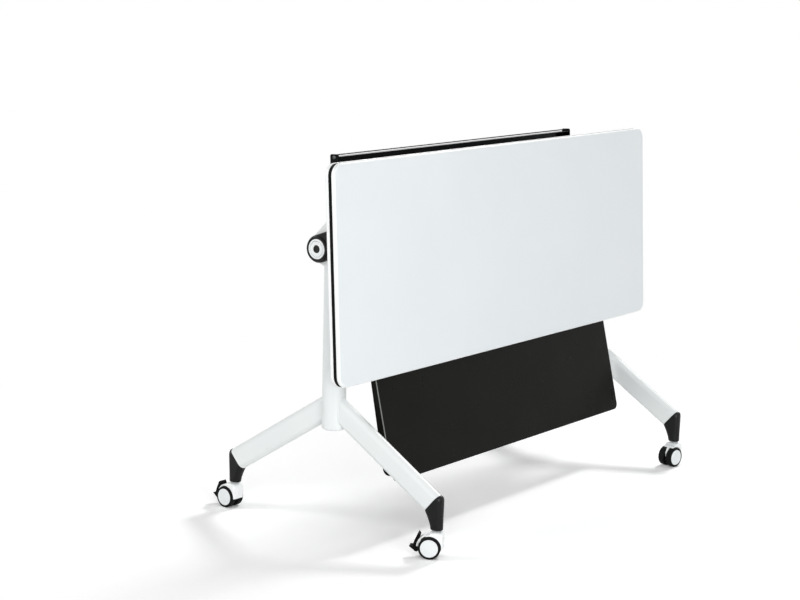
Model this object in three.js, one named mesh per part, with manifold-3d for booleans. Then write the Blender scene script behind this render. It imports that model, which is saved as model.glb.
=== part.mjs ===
// Flip top training table on casters, shown stowed: the top is turned up on edge.
// Millimetres, +Z up, X along the top, -Y is the side that the stowed work face looks to.
import * as THREE from 'three';
import { mergeVertices } from 'three/addons/utils/BufferGeometryUtils.js';
import { ConvexGeometry } from 'three/addons/geometries/ConvexGeometry.js';
import Module from 'manifold-3d';

const wasm = await Module();
wasm.setup();

// Fits
const seatGap = 0.3; // between pieces that are fastened to each other
const runningGap = 0.3; // between a pin and the bore that turns on it
const cutOver = 2; // how far a cutting solid runs past the face it cuts

// Facets
const roundSteps = 24;
const smallSteps = 12;
const wheelSteps = 24;
const cornerSteps = 5;

// Table top
const topLength = 1200;
const topDepth = 450;
const topThickness = 25;
const topCornerRadius = 30;
const inlayHeight = 8.4; // dark strip in the middle of the edge
const inlayDepth = 3;

// Pivot, measured from the hub axis
const hubHeight = 607;
const hubToUnderside = 67;
const hubToFrontEdge = 272;
const stowedLean = 3.3; // degrees that the stowed top leans back from upright
const shaftRadius = 10;
const armThickness = 11;
const armHubRadius = 30;
const armFootUser = 102; // foot of the arm, towards the user's edge
const armFootFront = 62; // foot of the arm, towards the front edge
const armFlangeWidth = 45;
const armFlangeThickness = 3.7;
const armScrewRadius = 2.6;
const armScrewInset = 12; // screw hole to the flange's ends
const coverThickness = 10;
const coverRadius = 27.5;
const coverFootUser = 50;
const coverFootFront = 34;
const coverRingRadius = 25.5;
const coverRingHeight = 3;
const discRadius = 20.2;
const discThickness = 3.4;
const buttonRadius = 7;
const buttonLength = 9;
const buttonProud = 0.6; // how far the button stands out of the disc

// Frame
const columnInset = 115; // end of the top to the column's axis
const columnRadius = 25;
const columnWall = 2.5;
const columnEdgeRadius = 5;
const columnTail = 54; // leg axes' meeting point to the column's bottom
const columnTopDrop = 30; // hub axis to the column's top
const headRadius = 26;
const headInboard = 30; // column axis to the head's inner end
const headOutboard = 41.5; // column axis to the head's outer end
const headSpigotLength = 40;
const beamRadius = 19;
const beamWall = 2;
const beamPlug = 14; // solid end of the beam that carries the shaft
const beamVentRadius = 3;
const baseDepth = 546; // between front and rear caster axes
const legSlope = 32.2; // degrees below level
const legTubeHeight = 50;
const legTubeWidth = 25;
const legWall = 2;
const legStart = 10; // where the tube starts, from the column's axis
const legCutTilt = 9; // degrees that the leg's lower cut leans out from square

// Boots and stems
const bootRadius = 11.3;
const bootChamfer = 2;
const bootShoulder = 11; // how far the boot's outer wall goes up past the centre of the leg's end
const bootRise = 55.6; // boot bottom to the centre of the leg's end
const bootOffset = 12; // centre of the leg's end to the caster axis
const bootSpigotLength = 30;
const bootSpigotRoot = 8; // how far the spigot runs on into the boot
const stemRadius = 5;
const stemCollarRadius = 8.5;
const stemCollarThickness = 1.7;
const stemRise = 30; // how far the stem goes up into the boot
const stemInsert = 7; // how far the stem goes down into the hood

// Casters
const wheelRadius = 23;
const casterCrown = 10; // top of the wheels to the boot's bottom
const wheelTrail = 14;
const wheelPairWidth = 38;
const wheelPairGap = 8;
const tyreThickness = 4.4;
const tyreShoulder = 1.6;
const tyreInset = 0.7; // tyre's side behind the disc's face
const axleRadius = 3;
const discWeb = 2.4; // disc's closed outer face
const hoodHalfWidth = 15;
const hoodWeb = 6;
const hoodRim = 3;
const wheelClearance = 1.5;
const hoodLead = 11.5; // caster axis to the hood's leading face
const hoodLeadRadius = 4;
const hoodSkirtRise = 4; // wheel's axis up to the hood's leading edge
const hoodTrailAngle = 68; // degrees above level where the hood's full width ends
const brakeRimAngle = 3; // degrees above level where the narrow rim behind a brake lever ends
const hoodCrownAngle = 78; // degrees where the rim meets the flat top
const hoodBossRadius = 8;
const leverHalfWidth = 10;
const leverPinRadius = 2.4;
const leverPinReach = 2; // pin's axis outside the rim
const leverPinAngle = 6;
const leverTopAngle = 51; // degrees above level where the lever's inner face starts
const leverHeelAngle = -3; // degrees where the inner face turns in to the foot
// Lever's outside from foot to top: [height above the rim, degrees above level]
const leverProfile = [
  [-1.2, -22], [3, -19], [8.4, -5], [15.2, 1.6], [5.2, 13], [3.9, 28], [5, 37.5], [7.4, 45], [9.5, 52],
];

// Modesty panel
const panelSideGap = 9; // panel's edge to the column
const panelLength = 274.5; // hinge axis to the bottom edge
const panelSheet = 1.5;
const panelFlangeTop = 12; // side flange's depth at the hinge
const panelFlangeFoot = 21; // and at the bottom
const panelFlangeRadius = 14;
const panelCornerRadius = 6;
const panelLean = 13.6; // degrees that the panel's bottom stands forward
const hingeToFrontEdge = 51;
const hingeDrop = 11; // underside to the hinge axis
const hingeSpacing = 760;
const hingeWidth = 30;
const hingeSideGap = 1;
const hingeFootDepth = 40;
const hingeFootThickness = 3;
const hingeEarDepth = 10;
const rodRadius = 4;
const rodEndInset = 8; // panel's edge to the rod's end
const knuckleRadius = 7;
const knuckleNotch = 9; // axis to the bottom of the notch round a hinge

// Book shelf
const shelfColumnGap = 14; // shelf's end to the column
const shelfSheet = 2;
const shelfLip = 22;
const shelfDrop = 110; // underside to the shelf's lower face
const shelfOverhang = 3.5; // shelf's front lip past the user's edge
const shelfDepth = 152;
const bracketSheet = 3;
const bracketDepth = 70;
const bracketInset = 48; // shelf's front to the bracket
const bracketFlange = 25;

// Worked out from the sizes above
const degree = Math.PI / 180;
const columnX = topLength / 2 - columnInset;
const frontEdge = -hubToFrontEdge;
const userEdge = topDepth - hubToFrontEdge;
const swivelY = baseDepth / 2;
const casterHeight = 2 * wheelRadius + casterCrown;
const slopeCos = Math.cos(legSlope * degree);
const slopeSin = Math.sin(legSlope * degree);
const legEndReach = swivelY - bootOffset;
const legEndHeight = casterHeight + bootRise;
const legLength = legEndReach / slopeCos;
const legMeetHeight = legEndHeight + legLength * slopeSin;
const columnBottom = legMeetHeight - columnTail;
const columnTop = hubHeight - columnTopDrop;
const armInner = columnX + headOutboard + seatGap;
const armOuter = armInner + armThickness;
const coverInner = armOuter + seatGap;
const coverOuter = coverInner + coverThickness;
const ringOuter = coverOuter + coverRingHeight;
const discSeat = ringOuter - discThickness - seatGap;
const panelHalf = columnX - columnRadius - panelSideGap;
const shelfHalf = columnX - columnRadius - shelfColumnGap;
const hingeY = frontEdge + hingeToFrontEdge;
const hingeZ = hubToUnderside - hingeDrop;
const hoodTop = casterHeight - stemCollarThickness - 2 * seatGap;
const wellRadius = wheelRadius + wheelClearance;
const rimRadius = wellRadius + hoodRim;

// Materials
function paint(color, roughness, metalness) {
  return new THREE.MeshStandardMaterial({ color, roughness, metalness });
}

const whiteLaminate = paint(0xf0f3f4, 0.45, 0);
const blackEdging = paint(0x121212, 0.4, 0);
const whiteCoat = paint(0xe9eeee, 0.35, 0.1);
const blackCoat = paint(0x242422, 0.45, 0.1);
const blackPlastic = paint(0x1e2020, 0.45, 0);
const whitePlastic = paint(0xf2f4f6, 0.3, 0);
const tyreRubber = paint(0x1a1a1a, 0.6, 0);
const zincSteel = paint(0xb8bcc0, 0.35, 1);

// Closed triangle mesh of a geometry, ready to be joined or cut
function solid(geometry) {
  const bare = new THREE.BufferGeometry();
  bare.setAttribute('position', geometry.getAttribute('position').clone());
  if (geometry.index) bare.setIndex(geometry.index.clone());
  const merged = mergeVertices(bare);
  const corners = merged.index.array;
  const triangles = [];
  for (let i = 0; i < corners.length; i += 3) {
    const [a, b, c] = corners.slice(i, i + 3);
    if (a !== b && b !== c && c !== a) triangles.push(a, b, c);
  }
  return new wasm.Manifold(new wasm.Mesh({
    numProp: 3,
    vertProperties: new Float32Array(merged.getAttribute('position').array),
    triVerts: new Uint32Array(triangles),
  }));
}

function piece(name, body, material) {
  const { vertProperties, triVerts } = body.getMesh();
  const geometry = new THREE.BufferGeometry();
  geometry.setAttribute('position', new THREE.BufferAttribute(new Float32Array(vertProperties), 3));
  geometry.setIndex(new THREE.BufferAttribute(new Uint32Array(triVerts), 1));
  geometry.computeVertexNormals();
  const mesh = new THREE.Mesh(geometry, material);
  mesh.name = name;
  return mesh;
}

const axisX = new THREE.Vector3(1, 0, 0);
const axisY = new THREE.Vector3(0, 1, 0);
const axisZ = new THREE.Vector3(0, 0, 1);

function extruded(shape, depth, curveSegments = cornerSteps) {
  return new THREE.ExtrudeGeometry(shape, { depth, bevelEnabled: false, curveSegments });
}

// A shape drawn in (y, z), run along X
function alongX(shape, from, to) {
  const turn = new THREE.Matrix4().makeBasis(axisY, axisZ, axisX);
  return solid(extruded(shape, to - from).applyMatrix4(turn).translate(from, 0, 0));
}

// A shape drawn in (x, z), run along Y
function alongY(shape, from, to) {
  const turn = new THREE.Matrix4().makeBasis(axisX, axisZ, axisY.clone().negate());
  return solid(extruded(shape, to - from).applyMatrix4(turn).translate(0, to, 0));
}

function alongZ(shape, from, to) {
  return solid(extruded(shape, to - from).translate(0, 0, from));
}

function block(x0, x1, y0, y1, z0, z1) {
  const box = new THREE.BoxGeometry(x1 - x0, y1 - y0, z1 - z0);
  return solid(box.translate((x0 + x1) / 2, (y0 + y1) / 2, (z0 + z1) / 2));
}

function rodX(radius, from, to, y = 0, z = 0, steps = roundSteps) {
  const rod = new THREE.CylinderGeometry(radius, radius, to - from, steps).rotateZ(Math.PI / 2);
  return solid(rod.translate((from + to) / 2, y, z));
}

function rodY(radius, from, to, x = 0, z = 0, steps = roundSteps) {
  const rod = new THREE.CylinderGeometry(radius, radius, to - from, steps);
  return solid(rod.translate(x, (from + to) / 2, z));
}

function rodZ(radius, from, to, x = 0, y = 0, steps = roundSteps) {
  const rod = new THREE.CylinderGeometry(radius, radius, to - from, steps).rotateX(Math.PI / 2);
  return solid(rod.translate(x, y, (from + to) / 2));
}

// A profile of [radius, height] pairs, outer wall upwards, turned round its own height axis
function turned(profile, steps) {
  return new THREE.LatheGeometry(profile.map(([r, h]) => new THREE.Vector2(r, h)), steps);
}

function roundedRectangle(width, height, radius, Outline = THREE.Shape) {
  const [w, h] = [width / 2 - radius, height / 2 - radius];
  const outline = new Outline();
  outline.absarc(w, h, radius, 0, Math.PI / 2);
  outline.absarc(-w, h, radius, Math.PI / 2, Math.PI);
  outline.absarc(-w, -h, radius, Math.PI, 1.5 * Math.PI);
  outline.absarc(w, -h, radius, 1.5 * Math.PI, 2 * Math.PI);
  outline.closePath();
  return outline;
}

function frameOutline(width, height, radius, inset) {
  const ring = roundedRectangle(width, height, radius);
  ring.holes.push(roundedRectangle(width - 2 * inset, height - 2 * inset, radius - inset, THREE.Path));
  return ring;
}

function polar(centreX, centreY, radius, angle) {
  return [centreX + radius * Math.cos(angle * degree), centreY + radius * Math.sin(angle * degree)];
}

// A round boss at the origin that spreads in straight flanks to a foot at the given height
function flaredOutline(radius, footFront, footUser, footHeight) {
  const front = Math.atan2(footHeight, -footFront) + Math.acos(radius / Math.hypot(footFront, footHeight));
  const user = Math.atan2(footHeight, footUser) - Math.acos(radius / Math.hypot(footUser, footHeight));
  const outline = new THREE.Shape();
  outline.moveTo(-footFront, footHeight);
  outline.absarc(0, 0, radius, front, user + 2 * Math.PI);
  outline.lineTo(footUser, footHeight);
  outline.closePath();
  return outline;
}

// Table top: drawn level, in use, with the hub axis at the origin
function tabletopBoard() {
  const middle = userEdge - topDepth / 2;
  const slab = alongZ(roundedRectangle(topLength, topDepth, topCornerRadius), 0, topThickness);
  const over = 2 * cutOver;
  const groove = alongZ(
    frameOutline(topLength + over, topDepth + over, topCornerRadius + cutOver, inlayDepth + cutOver),
    (topThickness - inlayHeight) / 2,
    (topThickness + inlayHeight) / 2,
  );
  return slab.subtract(groove).translate([0, middle, hubToUnderside]);
}

function edgeInlay() {
  const middle = userEdge - topDepth / 2;
  const ring = frameOutline(topLength, topDepth, topCornerRadius, inlayDepth - seatGap);
  const lower = (topThickness - inlayHeight) / 2 + seatGap;
  return alongZ(ring, lower, topThickness - lower).translate([0, middle, hubToUnderside]);
}

// Handed pieces are drawn for the +X end and mirrored for the other
function mirroredX(body, side) {
  return side > 0 ? body : body.mirror([1, 0, 0]);
}

function supportArm(side) {
  const flangeTop = hubToUnderside - seatGap;
  const flangeBottom = flangeTop - armFlangeThickness;
  const web = alongX(flaredOutline(armHubRadius, armFootFront, armFootUser, flangeTop), armInner, armOuter);
  const flangeInner = armOuter - armFlangeWidth;
  let arm = web.add(block(flangeInner, armOuter, -armFootFront, armFootUser, flangeBottom, flangeTop));
  arm = arm.subtract(rodX(shaftRadius + runningGap, armInner - cutOver, armOuter + cutOver));
  const screwX = (flangeInner + armInner) / 2;
  const [low, high] = [flangeBottom - cutOver, flangeTop + cutOver];
  const screwEnds = [-armFootFront + armScrewInset, armFootUser - armScrewInset];
  for (const y of [screwEnds[0], (screwEnds[0] + screwEnds[1]) / 2, screwEnds[1]]) {
    arm = arm.subtract(rodZ(armScrewRadius, low, high, screwX, y, smallSteps));
  }
  return mirroredX(arm, side);
}

function pivotCover(side) {
  const outline = flaredOutline(coverRadius, coverFootFront, coverFootUser, hubToUnderside - seatGap);
  const plate = alongX(outline, coverInner, coverOuter);
  const ring = rodX(coverRingRadius, coverOuter - cutOver, ringOuter);
  const seat = rodX(discRadius + seatGap, discSeat, ringOuter + cutOver);
  const bore = rodX(buttonRadius + runningGap, coverInner - cutOver, ringOuter, 0, 0, smallSteps);
  return mirroredX(plate.add(ring).subtract(seat).subtract(bore), side);
}

function pivotDisc(side) {
  const face = discSeat + seatGap;
  const disc = rodX(discRadius, face, face + discThickness);
  const bore = rodX(buttonRadius + runningGap, face - cutOver, ringOuter + cutOver, 0, 0, smallSteps);
  return mirroredX(disc.subtract(bore), side);
}

function releaseButton(side) {
  const tip = ringOuter + buttonProud;
  return mirroredX(rodX(buttonRadius, tip - buttonLength, tip, 0, 0, smallSteps), side);
}

// Book shelf: a folded sheet tray that hangs from two brackets under the user's edge
const shelfFront = userEdge + shelfOverhang;
const shelfBack = shelfFront - shelfDepth;
const shelfBottom = hubToUnderside - shelfDrop;

function bookShelf() {
  const lipTop = shelfBottom + shelfLip;
  const tray = block(-shelfHalf, shelfHalf, shelfBack, shelfFront, shelfBottom, lipTop);
  const inside = shelfHalf - shelfSheet;
  const floor = shelfBottom + shelfSheet;
  return tray.subtract(
    block(-inside, inside, shelfBack + shelfSheet, shelfFront - shelfSheet, floor, lipTop + cutOver),
  );
}

function shelfBracket(side) {
  const outer = shelfHalf - shelfSheet - seatGap;
  const front = shelfFront - bracketInset;
  const top = hubToUnderside - seatGap;
  const bottom = shelfBottom + shelfSheet + seatGap;
  const web = block(outer - bracketSheet, outer, front - bracketDepth, front, bottom, top);
  const flange = block(outer - bracketFlange, outer, front - bracketDepth, front, top - bracketSheet, top);
  return mirroredX(web.add(flange), side);
}

// Hinge of the modesty panel: a foot under the top and an ear round the rod
function panelHinge(side) {
  const middle = (side * hingeSpacing) / 2;
  const [left, right] = [middle - hingeWidth / 2, middle + hingeWidth / 2];
  const footTop = hubToUnderside - seatGap;
  const footBottom = footTop - hingeFootThickness;
  const foot = block(left, right, hingeY - hingeEarDepth / 2, hingeY + hingeFootDepth, footBottom, footTop);
  const ear = block(left, right, hingeY - hingeEarDepth / 2, hingeY + hingeEarDepth / 2, hingeZ, footTop);
  const barrel = rodX(knuckleRadius, left, right, hingeY, hingeZ, smallSteps);
  const bore = rodX(rodRadius + runningGap, left - cutOver, right + cutOver, hingeY, hingeZ, smallSteps);
  return foot.add(ear).add(barrel).subtract(bore);
}

// Modesty panel: hangs along -Z from its hinge axis at the origin, its face to -Y
function modestyPanel() {
  const outline = new THREE.Shape();
  const round = panelHalf - panelCornerRadius;
  outline.moveTo(panelHalf, 0);
  outline.lineTo(-panelHalf, 0);
  outline.absarc(-round, -panelLength + panelCornerRadius, panelCornerRadius, Math.PI, 1.5 * Math.PI);
  outline.absarc(round, -panelLength + panelCornerRadius, panelCornerRadius, 1.5 * Math.PI, 2 * Math.PI);
  outline.closePath();
  let panel = alongY(outline, 0, panelSheet);
  const flangeBottom = -panelLength + panelCornerRadius;
  const flange = new THREE.Shape();
  flange.moveTo(0, -knuckleRadius);
  flange.lineTo(0, flangeBottom);
  const roundY = panelFlangeFoot - panelFlangeRadius;
  flange.absarc(roundY, flangeBottom + panelFlangeRadius, panelFlangeRadius, -Math.PI / 2, 0);
  flange.lineTo(panelFlangeTop, -knuckleRadius);
  flange.closePath();
  panel = panel.add(alongX(flange, panelHalf - panelSheet, panelHalf));
  panel = panel.add(alongX(flange, -panelHalf, -panelHalf + panelSheet));
  panel = panel.add(rodX(knuckleRadius, -panelHalf, panelHalf, 0, 0, smallSteps));
  const rodBoreEnd = panelHalf + cutOver;
  panel = panel.subtract(rodX(rodRadius + seatGap, -rodBoreEnd, rodBoreEnd, 0, 0, smallSteps));
  const notchHalf = hingeWidth / 2 + hingeSideGap;
  const notchTop = knuckleRadius + cutOver;
  for (const middle of [-hingeSpacing / 2, hingeSpacing / 2]) {
    const [left, right] = [middle - notchHalf, middle + notchHalf];
    panel = panel.subtract(block(left, right, -notchTop, notchTop, -knuckleNotch, notchTop));
  }
  return panel;
}

function panelHingeRod() {
  const half = panelHalf - rodEndInset;
  return rodX(rodRadius, -half, half, 0, 0, smallSteps);
}

// Frame: drawn about the floor point midway between the columns
function column() {
  const outer = [[0, columnBottom]];
  for (let step = 0; step <= cornerSteps; step += 1) {
    const centreRadius = columnRadius - columnEdgeRadius;
    const angle = -90 + (90 * step) / cornerSteps;
    outer.push(polar(centreRadius, columnBottom + columnEdgeRadius, columnEdgeRadius, angle));
  }
  const inner = columnRadius - columnWall;
  const floor = columnBottom + columnEdgeRadius;
  const profile = [...outer, [columnRadius, columnTop], [inner, columnTop], [inner, floor], [0, floor]];
  return solid(turned(profile, roundSteps).rotateX(Math.PI / 2));
}

function columnHead(side) {
  const barrel = rodX(headRadius, columnX - headInboard, columnX + headOutboard, 0, hubHeight);
  const neck = rodZ(columnRadius, columnTop + seatGap, hubHeight, columnX);
  const spigotRadius = columnRadius - columnWall - seatGap;
  const spigot = rodZ(spigotRadius, columnTop - headSpigotLength, hubHeight, columnX);
  const bore = rodX(
    shaftRadius + seatGap,
    columnX - headInboard - cutOver,
    columnX + headOutboard + cutOver,
    0,
    hubHeight,
  );
  return mirroredX(barrel.add(neck).add(spigot).subtract(bore), side);
}

// Tube between the heads, with the two pivot shafts standing out of its ends
function crossbeam() {
  const beamHalf = columnX - headInboard - seatGap;
  const shaftEnd = armOuter - seatGap;
  const profile = [
    [0, -shaftEnd], [shaftRadius, -shaftEnd], [shaftRadius, -beamHalf], [beamRadius, -beamHalf],
    [beamRadius, beamHalf], [shaftRadius, beamHalf], [shaftRadius, shaftEnd], [0, shaftEnd],
  ];
  const beam = solid(turned(profile, roundSteps).rotateZ(-Math.PI / 2));
  const hollow = rodX(beamRadius - beamWall, -beamHalf + beamPlug, beamHalf - beamPlug);
  const vent = rodZ(beamVentRadius, -beamRadius - cutOver, 0, 0, 0, smallSteps);
  return beam.subtract(hollow).subtract(vent).translate([0, 0, hubHeight]);
}

// Legs, boots and stems are drawn for a front leg, with the column's axis at the origin
const legAlong = new THREE.Vector3(0, -slopeCos, -slopeSin);
const legUp = new THREE.Vector3(0, -slopeSin, slopeCos);
const cutSlant = Math.tan(legCutTilt * degree); // along the leg, per millimetre up its section
const cutNormal = legAlong.clone().addScaledVector(legUp, -cutSlant).normalize();
const legEnd = new THREE.Vector3(0, -legEndReach, legEndHeight);

function alongLeg(shape, from, to) {
  const turn = new THREE.Matrix4().makeBasis(axisX, legUp, legAlong);
  const geometry = extruded(shape, to - from).translate(0, 0, from).applyMatrix4(turn);
  return solid(geometry.translate(0, 0, legMeetHeight));
}

function leg() {
  const section = frameOutline(legTubeWidth, legTubeHeight, legTubeWidth / 2, legWall);
  const tube = alongLeg(section, legStart, legLength + legTubeHeight);
  const keep = cutNormal.clone().negate();
  const cut = tube.trimByPlane(keep.toArray(), keep.dot(legEnd) + seatGap);
  return cut.subtract(rodZ(columnRadius + seatGap, 0, hubHeight));
}

// Moulded boot: skin stretched from the leg's cut end over a round shoulder to the round foot
function boot() {
  const points = [];
  const section = roundedRectangle(legTubeWidth, legTubeHeight, legTubeWidth / 2);
  for (const { x, y } of section.extractPoints(cornerSteps).shape) {
    const point = legEnd.clone().addScaledVector(legAlong, y * cutSlant);
    points.push(point.addScaledVector(axisX, x).addScaledVector(legUp, y));
  }
  const rings = [
    [bootRadius - bootChamfer, casterHeight],
    [bootRadius, casterHeight + bootChamfer],
    [bootRadius, legEndHeight + bootShoulder],
  ];
  for (const [radius, height] of rings) {
    for (let step = 0; step < 2 * smallSteps; step += 1) {
      const [x, y] = polar(0, -swivelY, radius, (360 * step) / (2 * smallSteps));
      const point = new THREE.Vector3(x, y, height);
      if (point.clone().sub(legEnd).dot(cutNormal) > 0) points.push(point);
    }
  }
  const inset = legWall + seatGap;
  const plugWidth = legTubeWidth - 2 * inset;
  const plug = roundedRectangle(plugWidth, legTubeHeight - 2 * inset, plugWidth / 2);
  const spigot = alongLeg(plug, legLength - bootSpigotLength, legLength + bootSpigotRoot);
  const bore = rodZ(
    stemRadius + seatGap,
    casterHeight - cutOver,
    casterHeight + stemRise + seatGap,
    0,
    -swivelY,
    smallSteps,
  );
  return solid(new ConvexGeometry(points)).add(spigot).subtract(bore);
}

function casterStem() {
  const collarTop = casterHeight - seatGap;
  const collarBottom = collarTop - stemCollarThickness;
  const bottom = hoodTop - stemInsert;
  const top = casterHeight + stemRise;
  const profile = [
    [0, bottom], [stemRadius, bottom], [stemRadius, collarBottom], [stemCollarRadius, collarBottom],
    [stemCollarRadius, collarTop], [stemRadius, collarTop], [stemRadius, top], [0, top],
  ];
  return solid(turned(profile, smallSteps).rotateX(Math.PI / 2)).translate([0, -swivelY, 0]);
}

// Casters: the swivel axis is Z, the wheels trail along +X and turn about an axle along Y
function casterHood(braked) {
  const outline = new THREE.Shape();
  const onWheel = (radius, angle) => polar(wheelTrail, wheelRadius, radius, angle);
  outline.moveTo(...onWheel(wellRadius, hoodTrailAngle));
  outline.absarc(wheelTrail, wheelRadius, rimRadius, hoodTrailAngle * degree, hoodCrownAngle * degree);
  outline.lineTo(bootRadius, hoodTop);
  const leadCentre = -hoodLead + hoodLeadRadius;
  outline.absarc(leadCentre, hoodTop - hoodLeadRadius, hoodLeadRadius, Math.PI / 2, Math.PI);
  outline.lineTo(-hoodLead, wheelRadius + hoodSkirtRise);
  outline.lineTo(wheelTrail - hoodBossRadius, wheelRadius - hoodBossRadius);
  outline.lineTo(wheelTrail + hoodBossRadius, wheelRadius - hoodBossRadius);
  outline.closePath();
  let hood = alongY(outline, -hoodHalfWidth, hoodHalfWidth);
  const far = hoodHalfWidth + cutOver;
  hood = hood.subtract(rodY(wellRadius, hoodWeb / 2, far, wheelTrail, wheelRadius));
  hood = hood.subtract(rodY(wellRadius, -far, -hoodWeb / 2, wheelTrail, wheelRadius));
  hood = hood.subtract(rodY(axleRadius + seatGap, -far, far, wheelTrail, wheelRadius, smallSteps));
  const stemBore = hoodTop - stemInsert - runningGap;
  hood = hood.subtract(rodZ(stemRadius + runningGap, stemBore, hoodTop + cutOver, 0, 0, smallSteps));
  if (!braked) return hood;
  const rim = new THREE.Shape();
  const [rimStart, rimEnd] = [brakeRimAngle * degree, hoodCrownAngle * degree];
  rim.absarc(wheelTrail, wheelRadius, rimRadius, rimStart, rimEnd);
  rim.absarc(wheelTrail, wheelRadius, wellRadius, rimEnd, rimStart, true);
  rim.closePath();
  const [pinX, pinZ] = onWheel(rimRadius + leverPinReach, leverPinAngle);
  const pin = rodY(leverPinRadius, -leverHalfWidth, leverHalfWidth, pinX, pinZ, smallSteps);
  return hood.add(alongY(rim, -leverHalfWidth, leverHalfWidth)).add(pin);
}

function casterAxle() {
  const half = wheelPairWidth / 2 - discWeb - 2 * seatGap;
  return rodY(axleRadius, -half, half, wheelTrail, wheelRadius, smallSteps);
}

// Wheel pieces are turned about Z first, then laid on the axle on one side of the web
function onAxle(body, side) {
  return body.rotate([-90 * side, 0, 0]).translate([wheelTrail, 0, wheelRadius]);
}

function tyre(side) {
  const inner = wheelPairGap / 2;
  const outer = wheelPairWidth / 2 - tyreInset;
  const seat = wheelRadius - tyreThickness;
  const shoulder = wheelRadius - tyreShoulder;
  const profile = [
    [seat, inner], [shoulder, inner], [wheelRadius, inner + tyreShoulder],
    [wheelRadius, outer - tyreShoulder], [shoulder, outer], [seat, outer], [seat, inner],
  ];
  return onAxle(solid(turned(profile, wheelSteps).rotateX(Math.PI / 2)), side);
}

function wheelDisc(side) {
  const inner = wheelPairGap / 2;
  const outer = wheelPairWidth / 2;
  const rim = wheelRadius - tyreThickness - seatGap;
  const bore = axleRadius + runningGap;
  const boreEnd = outer - discWeb;
  const profile = [
    [0, boreEnd], [bore, boreEnd], [bore, inner], [rim, inner],
    [rim, outer - tyreInset], [rim - tyreInset, outer], [0, outer],
  ];
  return onAxle(solid(turned(profile, wheelSteps).rotateX(Math.PI / 2)), side);
}

// Rocker that hooks on the hood's pin: a tab up the rim, a pedal out and a brake foot below
function brakeLever() {
  const onWheel = (radius, angle) => polar(wheelTrail, wheelRadius, radius, angle);
  const corners = leverProfile.map(([rise, angle]) => new THREE.Vector2(...onWheel(rimRadius + rise, angle)));
  const outline = new THREE.Shape(corners);
  const [start, end] = [leverTopAngle * degree, leverHeelAngle * degree];
  outline.absarc(wheelTrail, wheelRadius, rimRadius + runningGap, start, end, true);
  outline.closePath();
  const lever = alongY(outline, -leverHalfWidth, leverHalfWidth);
  const [pinX, pinZ] = onWheel(rimRadius + leverPinReach, leverPinAngle);
  const far = hoodHalfWidth + cutOver;
  return lever.subtract(rodY(leverPinRadius + runningGap, -far, far, pinX, pinZ, smallSteps));
}

// Assembly
const handOf = (side) => (side < 0 ? 'left' : 'right');
const table = new THREE.Group();

const tabletop = new THREE.Group();
tabletop.name = 'tabletop_pivot';
tabletop.position.z = hubHeight;
tabletop.rotation.x = (90 - stowedLean) * degree;
tabletop.add(piece('tabletop_board', tabletopBoard(), whiteLaminate));
tabletop.add(piece('edge_inlay', edgeInlay(), blackEdging));
tabletop.add(piece('book_shelf', bookShelf(), blackCoat));
table.add(tabletop);

for (const side of [-1, 1]) {
  const hand = handOf(side);
  tabletop.add(piece(`support_arm_${hand}`, supportArm(side), whiteCoat));
  tabletop.add(piece(`pivot_cover_${hand}`, pivotCover(side), blackPlastic));
  tabletop.add(piece(`pivot_disc_${hand}`, pivotDisc(side), whitePlastic));
  tabletop.add(piece(`release_button_${hand}`, releaseButton(side), blackPlastic));
  tabletop.add(piece(`shelf_bracket_${hand}`, shelfBracket(side), blackCoat));
  tabletop.add(piece(`panel_hinge_${hand}`, panelHinge(side), blackCoat));
}

const panelSwing = new THREE.Group();
panelSwing.name = 'panel_pivot';
panelSwing.position.set(0, hingeY, hingeZ);
panelSwing.rotation.x = -panelLean * degree - tabletop.rotation.x;
panelSwing.add(piece('modesty_panel', modestyPanel(), blackCoat));
panelSwing.add(piece('panel_hinge_rod', panelHingeRod(), zincSteel));
tabletop.add(panelSwing);

table.add(piece('crossbeam', crossbeam(), whiteCoat));

// How each corner's caster stands: its trailing direction in degrees from +X, and whether it brakes
const casters = {
  front_left: { trail: 118, braked: true },
  rear_left: { trail: 87, braked: true },
  front_right: { trail: 171, braked: false },
  rear_right: { trail: 95, braked: false },
};

for (const side of [-1, 1]) {
  const hand = handOf(side);
  table.add(piece(`column_head_${hand}`, columnHead(side), whiteCoat));
  const post = piece(`column_${hand}`, column(), whiteCoat);
  post.position.x = side * columnX;
  table.add(post);
  for (const end of ['front', 'rear']) {
    const corner = `${end}_${hand}`;
    const foot = new THREE.Group();
    foot.position.x = side * columnX;
    foot.rotation.z = end === 'front' ? 0 : Math.PI;
    foot.add(piece(`leg_${corner}`, leg(), whiteCoat));
    foot.add(piece(`boot_${corner}`, boot(), blackPlastic));
    foot.add(piece(`caster_stem_${corner}`, casterStem(), zincSteel));
    table.add(foot);

    const { trail, braked } = casters[corner];
    const caster = new THREE.Group();
    caster.name = `caster_${corner}`;
    caster.position.set(side * columnX, end === 'front' ? -swivelY : swivelY, 0);
    caster.rotation.z = trail * degree;
    caster.add(piece(`caster_hood_${corner}`, casterHood(braked), whitePlastic));
    caster.add(piece(`caster_axle_${corner}`, casterAxle(), zincSteel));
    if (braked) caster.add(piece(`brake_lever_${corner}`, brakeLever(), blackPlastic));
    for (const [wheel, flank] of [['a', 1], ['b', -1]]) {
      caster.add(piece(`tyre_${corner}_${wheel}`, tyre(flank), tyreRubber));
      caster.add(piece(`wheel_disc_${corner}_${wheel}`, wheelDisc(flank), whitePlastic));
    }
    table.add(caster);
  }
}

// The origin is on the floor under the middle of the whole table's box
table.updateMatrixWorld(true);
const extent = new THREE.Box3().setFromObject(table, true);
table.position.y = -(extent.min.y + extent.max.y) / 2;

export default table;
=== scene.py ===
"""Flip top training table, stowed with its top on edge: the looks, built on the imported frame.

Shapes are drawn in millimetres in the frame of the piece they belong to, and go to metres
in the row frame when their mesh is made.
"""
import math

import bmesh
import bpy
from mathutils import Matrix, Vector


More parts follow.
